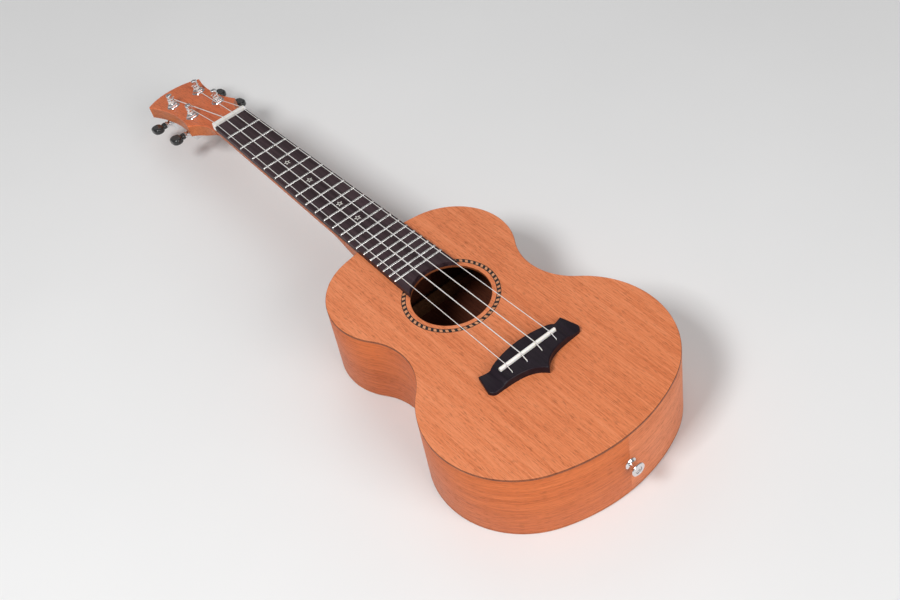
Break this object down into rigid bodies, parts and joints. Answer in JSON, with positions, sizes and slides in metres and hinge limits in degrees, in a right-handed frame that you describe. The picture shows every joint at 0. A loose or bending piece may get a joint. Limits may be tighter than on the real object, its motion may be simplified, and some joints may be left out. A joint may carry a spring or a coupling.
{
  "type": "tenor ukulele",
  "caption": "Waisted wooden sound box with a round soundhole, fretted neck, string-through bridge, nylon strings and a tilted headstock with geared tuning machines.",
  "frame": {"origin": "on the back's outer face, on the centreline, straight under the nominal saddle line, one scale length from the nut", "axes": "+X runs up the neck to the headstock, +Y is the bass side, +Z comes out of the soundboard"},
  "size_m": [0.6893, 0.22, 0.0809],
  "materials": {
    "top_wood": "satin, fine open grain",
    "side_wood": "satin",
    "neck_wood": "satin",
    "head_veneer": "satin",
    "inner_wood": "raw",
    "brace_wood": "raw",
    "rosewood": "oiled",
    "black_wood": "satin",
    "black_line": "satin",
    "rope_inlay": "satin",
    "star_inlay": "polished",
    "bone": "polished",
    "string": "smooth",
    "fret_metal": "polished",
    "chrome": "polished",
    "steel": "zinc plated",
    "brass": "machined",
    "button": "gloss"
  },
  "bodies": {
    "body": {"soundboard": "top_wood", "back_plate": "side_wood", "rib_bass": "side_wood", "rib_treble": "side_wood", "neck_block": "inner_wood", "tail_block": "inner_wood", "top_linings": "inner_wood", "back_linings": "inner_wood", "top_bars": "brace_wood", "fan_braces": "brace_wood", "bridge_plate": "inner_wood", "back_bars": "brace_wood", "rosette_lines": "black_line", "rosette_rope": "rope_inlay", "neck": "neck_wood", "headstock": "neck_wood", "headstock_veneer": "head_veneer", "neck_bolt": "steel", "neck_bolt_washer": "steel", "neck_insert": "brass", "fingerboard": "rosewood", "frets": "fret_metal", "star_inlays": "star_inlay", "nut": "bone", "bridge": "black_wood", "saddle": "bone", "string_knots": "string", "string_g": "string", "string_c": "string", "string_e": "string", "string_a": "string", "strap_button": "chrome", "strap_button_screw": "chrome", "tuner_base_plates": "chrome", "tuner_housings": "chrome", "tuner_bushings": "chrome", "tuner_washers": "chrome", "tuner_screws": "chrome"},
    "post_g": {"string_post_g": "chrome", "worm_wheel_g": "brass", "string_wrap_g": "string"},
    "knob_g": {"worm_shaft_g": "chrome", "tuner_button_g": "button"},
    "post_c": {"string_post_c": "chrome", "worm_wheel_c": "brass", "string_wrap_c": "string"},
    "knob_c": {"worm_shaft_c": "chrome", "tuner_button_c": "button"},
    "post_e": {"string_post_e": "chrome", "worm_wheel_e": "brass", "string_wrap_e": "string"},
    "knob_e": {"worm_shaft_e": "chrome", "tuner_button_e": "button"},
    "post_a": {"string_post_a": "chrome", "worm_wheel_a": "brass", "string_wrap_a": "string"},
    "knob_a": {"worm_shaft_a": "chrome", "tuner_button_a": "button"}
  },
  "joints": [
    {"name": "knob_g_turn", "type": "hinge", "parent": "body", "child": "knob_g", "pos_m": [0.49056, 0.03, 0.03793], "axis": [0, 1, 0], "continuous": true},
    {"name": "post_g_turn", "type": "hinge", "parent": "body", "child": "post_g", "pos_m": [0.48693, 0.0153, 0.05601], "axis": [0.225, 0, 0.9744], "continuous": true},
    {"name": "knob_c_turn", "type": "hinge", "parent": "body", "child": "knob_c", "pos_m": [0.53363, 0.03, 0.02799], "axis": [0, 1, 0], "continuous": true},
    {"name": "post_c_turn", "type": "hinge", "parent": "body", "child": "post_c", "pos_m": [0.53, 0.0153, 0.04607], "axis": [0.225, 0, 0.9744], "continuous": true},
    {"name": "knob_e_turn", "type": "hinge", "parent": "body", "child": "knob_e", "pos_m": [0.53363, -0.03, 0.02799], "axis": [0, -1, 0], "continuous": true},
    {"name": "post_e_turn", "type": "hinge", "parent": "body", "child": "post_e", "pos_m": [0.53, -0.0153, 0.04607], "axis": [0.225, 0, 0.9744], "continuous": true},
    {"name": "knob_a_turn", "type": "hinge", "parent": "body", "child": "knob_a", "pos_m": [0.49056, -0.03, 0.03793], "axis": [0, -1, 0], "continuous": true},
    {"name": "post_a_turn", "type": "hinge", "parent": "body", "child": "post_a", "pos_m": [0.48693, -0.0153, 0.05601], "axis": [0.225, 0, 0.9744], "continuous": true}
  ],
  "couplings": [
    {"joint": "post_g_turn", "follows": "knob_g_turn", "ratio": 0.071429},
    {"joint": "post_c_turn", "follows": "knob_c_turn", "ratio": 0.071429},
    {"joint": "post_e_turn", "follows": "knob_e_turn", "ratio": -0.071429},
    {"joint": "post_a_turn", "follows": "knob_a_turn", "ratio": -0.071429}
  ]
}
